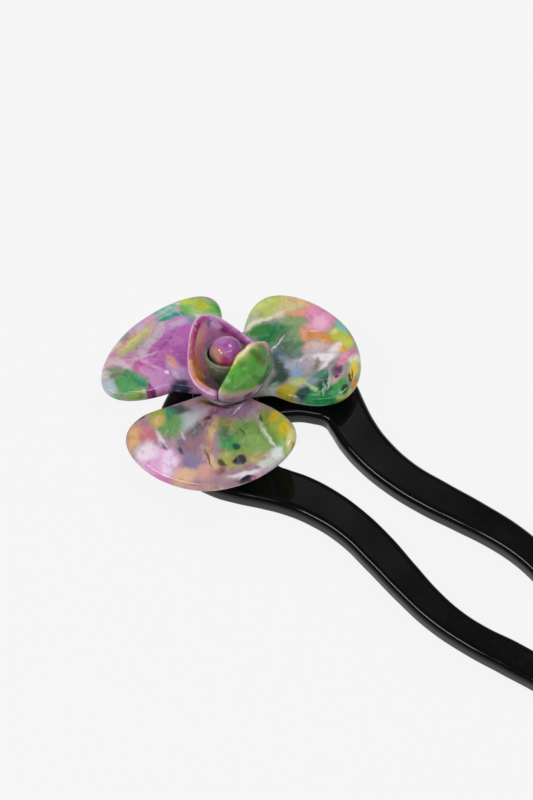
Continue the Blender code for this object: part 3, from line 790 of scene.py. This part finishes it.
def write_bud_place(obj, tip, rim):
    """Place each point by arc from the petal's tip, height or depth below the rim, and side."""
    def height_and_depth(vert):
        spoke = vert.co.xy / MM - BUD_AXIS
        angle = math.degrees(math.atan2(spoke.y, spoke.x))
        arc = math.radians(turn_between(angle, tip)) * ARC_RADIUS
        side = vert.normal.xy.dot(spoke.normalized())
        height = vert.co.z / MM
        return (arc, height, side), (arc, rim(angle) - height, side)

    write_vectors(obj, "place", lambda vert: height_and_depth(vert)[0])
    write_vectors(obj, "rim", lambda vert: height_and_depth(vert)[1])


def cup_sheet(start, end):
    bm = bmesh.new()
    ray = (math.cos(math.radians(start)), math.sin(math.radians(start)))
    post = [bm.verts.new((*ray, ring / BUD_RINGS)) for ring in range(BUD_RINGS + 1)]
    edges = [bm.edges.new(pair) for pair in zip(post, post[1:])]
    bmesh.ops.spin(
        bm, geom=post + edges, axis=(0, 0, 1), cent=(0, 0, 0),
        angle=math.radians(end - start), steps=round(BUD_SPOKES * (end - start) / 360),
    )
    return bm


def face_outwards(obj):
    axis = BUD_AXIS * MM
    outwards = sum((face.center.xy - axis).dot(face.normal.xy) for face in obj.data.polygons)
    if outwards < 0:
        obj.data.flip_normals()


def back_rim(angle):
    turn = turn_between(angle, BACK_TIP)
    spread = BACK_SPREAD_RIGHT if turn < 0 else BACK_SPREAD_LEFT
    rise = math.cos(min(abs(turn) / spread, 1.0) * math.pi / 2) ** 2
    return BACK_SIDE_HEIGHT + (BACK_TIP_HEIGHT - BACK_SIDE_HEIGHT) * rise


def back_shape(angle, share):
    height = BUD_BASE + (back_rim(angle) - BUD_BASE) * share
    return height, cup_radius(BACK_PETAL, height), Vector((0, 0))


def front_rim(angle):
    half = (FRONT_TO - FRONT_FROM) / 2
    return FRONT_TIP_HEIGHT - FRONT_SIDE_DROP * (turn_between(angle, FRONT_TIP) / half) ** 4


def front_shape(angle, share):
    height = BUD_BASE + (front_rim(angle) - BUD_BASE) * share
    radius = cup_radius(FRONT_PETAL, height)
    if height > FRONT_CLOSES_FROM:
        closed = (height - FRONT_CLOSES_FROM) / FRONT_CLOSES_OVER
        radius *= math.sqrt(1 - closed ** 2)
    return height, radius, FRONT_SHIFT


def make_bud_petal(node, piece, sheet, shape, rim, cup, tip, base, pattern, rim_pattern):
    for vert in sheet.verts:
        angle = math.degrees(math.atan2(vert.co.y, vert.co.x))
        height, radius, shift = shape(angle, vert.co.z)
        centre = BUD_AXIS + shift + vert.co.xy.normalized() * radius
        vert.co = Vector((*centre, height)) * MM
    petal = new_object(piece + "_sheet", sheet)
    face_outwards(petal)
    add_wall(petal, cup["wall"], -1)
    add_rounding(petal, cup["wall"] * RIM_ROUNDING_SHARE)
    add_smoothing(petal)
    fine = settled(petal, piece)
    write_bud_place(fine, tip, rim)
    paint = acetate_paint(piece + "_acetate", base, BUD_DEPTH, BUD_TRANSLUCENCE)
    place = paint.place()
    paint.blobs(paint.warp(paint.warp(place, 3.0, 0.7), 1.0, 0.3), pattern)
    paint.blobs(paint.warp(paint.place("rim"), 1.5, 0.25), rim_pattern)
    stand_in(fine, node, finish_acetate(paint, place))


def make_inner_cup():
    bm = disc_of_rings(BUD_RINGS, BUD_SPOKES)
    for vert in bm.verts:
        share = vert.co.length
        ray = vert.co.xy.normalized() if share else Vector((0, 0))
        height = BUD_BASE
        reach = INNER_CUP["root"] * share / CUP_FLOOR_SHARE
        if share > CUP_FLOOR_SHARE:
            turn = math.atan2(ray.y, ray.x) - math.radians(CUP_HIGHEST)
            rim = CUP_RIM + CUP_RIM_TILT * math.cos(turn)
            height += (rim - BUD_BASE) * (share - CUP_FLOOR_SHARE) / (1 - CUP_FLOOR_SHARE)
            reach = cup_radius(INNER_CUP, height)
        vert.co = Vector((*(BUD_AXIS + ray * reach), height)) * MM
    cup = new_object("inner_cup_sheet", bm)
    face_outwards(cup)
    add_wall(cup, INNER_CUP["wall"], -1)
    add_rounding(cup, INNER_CUP["wall"] * RIM_ROUNDING_SHARE)
    add_smoothing(cup)
    fine = settled(cup, "inner_cup")
    write_bud_place(fine, CUP_HIGHEST, lambda angle: CUP_RIM)
    paint = acetate_paint("inner_cup_acetate", "4f6650")
    place = paint.place()
    paint.blobs(paint.warp(place, 2.0, 0.6), CUP_PATTERN)
    stand_in(fine, "bud_inner_cup", finish_acetate(paint, place))


def turned(name, profile, centre):
    """Spin a profile of (radius, height) points, listed from the top down its outer side."""
    bm = bmesh.new()
    verts = [bm.verts.new(Vector((radius, 0, height)) * MM) for radius, height in profile]
    for pair in zip(verts, verts[1:]):
        bm.edges.new(pair)
    obj = new_object(name + "_profile", bm)
    obj.location = Vector((*centre, 0)) * MM
    screw = obj.modifiers.new("Turned", "SCREW")
    screw.steps = screw.render_steps = TURNED_STEPS
    screw.use_merge_vertices = True
    screw.merge_threshold = WELD_DISTANCE
    screw.use_smooth_shade = True
    return settled(obj, name)


def make_core():
    dome = []
    for step in range(DOME_STEPS + 1):
        angle = math.pi / 2 * (1 - step / DOME_STEPS)
        dome.append((CORE_RADIUS * math.cos(angle), CORE_CENTRE + CORE_RADIUS * math.sin(angle)))
    dome[0] = (0.0, dome[0][1])
    core = turned("core", dome + list(CORE_STEM), BUD_AXIS)
    write_vectors(core, "place", lambda vert: vert.co / MM - Vector((*BUD_AXIS, 0)))
    paint = acetate_paint("core_acetate", "a5559f")
    place = paint.place()
    paint.blobs(paint.warp(place, 1.6, 0.5), CORE_PATTERN)
    stand_in(core, "bud_core", finish_acetate(paint, place))


def make_bud():
    make_bud_petal(
        "bud_back_petal", "back_bud_petal", cup_sheet(BACK_FROM, BACK_TO), back_shape, back_rim,
        BACK_PETAL, BACK_TIP, "d6a0cc", BACK_PATTERN, BACK_RIM,
    )
    make_bud_petal(
        "bud_front_petal", "front_bud_petal", cup_sheet(FRONT_FROM, FRONT_TO), front_shape,
        front_rim, FRONT_PETAL, FRONT_TIP, "d8c27c", FRONT_PATTERN, FRONT_RIM,
    )
    make_inner_cup()
    make_core()


# What joins the flower to the fork

def make_adhesive():
    """Clear glue between the roots, with a soft bead under the bud."""
    radius = (GLUE_HIGH.x - GLUE_LOW.x) / 2
    profile = [(0.0, GLUE_HIGH.z)]
    for step in range(BEAD_STEPS + 1):
        angle = math.pi / 2 - math.pi * step / BEAD_STEPS
        out = radius - GLUE_BEAD + GLUE_BEAD * math.cos(angle)
        profile.append((out, GLUE_HIGH.z - GLUE_BEAD + GLUE_BEAD * math.sin(angle)))
    under_bead = GLUE_HIGH.z - 2 * GLUE_BEAD
    profile += [(GLUE_POST_RADIUS, under_bead), (GLUE_POST_RADIUS, GLUE_LOW.z), (0.0, GLUE_LOW.z)]
    glue = turned("clear_glue", profile, FLOWER_AXIS)
    paint = Paint("clear_glue", "d9d2da", Roughness=0.05, IOR=1.45, Transmission_Weight=0.6)
    wave = paint.noise(paint.object_mm(), 1.5, 2.0).outputs["Fac"]
    paint.layer(linear("b9a6bd"), paint.spread(wave, 0.4, 0.7, 0.0, 0.6))
    stand_in(glue, "root_adhesive", paint.finish(wave, 0.1))


def make_flower_base():
    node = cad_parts["flower_base"]
    node.data.materials.clear()
    node.data.materials.append(fork_material())


# Floor, light and camera

def make_floor():
    bm = bmesh.new()
    bmesh.ops.create_grid(bm, x_segments=1, y_segments=1, size=FLOOR_REACH)
    floor = new_object("floor", bm)
    floor.location.z = (FORK_LOW.z - FLOOR_DROP) * MM
    paint = Paint("pale_floor", "404040", Roughness=0.9, Emission_Strength=FLOOR_EMISSION)
    paint.shader.inputs["Emission Color"].default_value = (1, 1, 1, 1)
    paint.shader.inputs["Specular IOR Level"].default_value = 0.0
    floor.data.materials.append(paint.finish())


def make_softbox(name, azimuth, elevation, distance, size, power):
    """A rectangular light aimed at the flower, its place as seen from there."""
    light = bpy.data.lights.new(name, "AREA")
    light.shape = "RECTANGLE"
    light.size, light.size_y = size
    light.energy = power
    obj = bpy.data.objects.new(name, light)
    bpy.context.scene.collection.objects.link(obj)
    away = direction_from(azimuth, elevation)
    obj.location = away * distance
    obj.rotation_mode = "QUATERNION"
    obj.rotation_quaternion = (-away).to_track_quat("-Z", "Y")


def direction_from(azimuth, elevation):
    """Unit vector towards a viewer: azimuth 0 looks along +Y."""
    a, e = math.radians(azimuth), math.radians(elevation)
    return Vector((math.sin(a) * math.cos(e), -math.cos(a) * math.cos(e), math.sin(e)))


def make_world():
    """A dim studio with one soft glow behind the head, which the fork's flat top mirrors."""
    world = bpy.data.worlds.new("studio")
    world.use_nodes = True
    tree = world.node_tree
    background = tree.nodes["Background"]
    background.inputs["Color"].default_value = (1, 1, 1, 1)
    place = tree.nodes.new("ShaderNodeTexCoord").outputs["Generated"]
    toward_glow = tree.nodes.new("ShaderNodeVectorMath")
    toward_glow.operation = "DOT_PRODUCT"
    toward_glow.inputs[1].default_value = direction_from(*GLOW_DIRECTION)
    glow = tree.nodes.new("ShaderNodeMapRange")
    glow.interpolation_type = "SMOOTHSTEP"
    glow.inputs["From Min"].default_value = math.cos(math.radians(GLOW_REACH))
    glow.inputs["From Max"].default_value = 1.0
    glow.inputs["To Min"].default_value = STUDIO_LEVEL
    glow.inputs["To Max"].default_value = GLOW_LEVEL
    tree.links.new(place, toward_glow.inputs[0])
    tree.links.new(toward_glow.outputs["Value"], glow.inputs["Value"])
    tree.links.new(glow.outputs["Result"], background.inputs["Strength"])
    bpy.context.scene.world = world


def make_lights():
    for name, placing in SOFTBOXES.items():
        make_softbox(name, *placing)
    make_world()


def make_camera():
    camera = bpy.data.cameras.new("camera")
    camera.lens = CAMERA_LENS
    camera.sensor_width = 36
    obj = bpy.data.objects.new("camera", camera)
    bpy.context.scene.collection.objects.link(obj)
    back = direction_from(CAMERA_AZIMUTH, CAMERA_ELEVATION)
    obj.location = (Vector(CAMERA_TARGET) + back * CAMERA_DISTANCE) * MM
    obj.rotation_mode = "QUATERNION"
    obj.rotation_quaternion = (-back).to_track_quat("-Z", "Y")
    camera.clip_start = 0.01
    bpy.context.scene.camera = obj


make_camera()
make_lights()
make_floor()
make_fork()
make_flower_base()
make_outer_petals()
make_bud()
make_adhesive()
bpy.context.scene.view_settings.view_transform = "Standard"
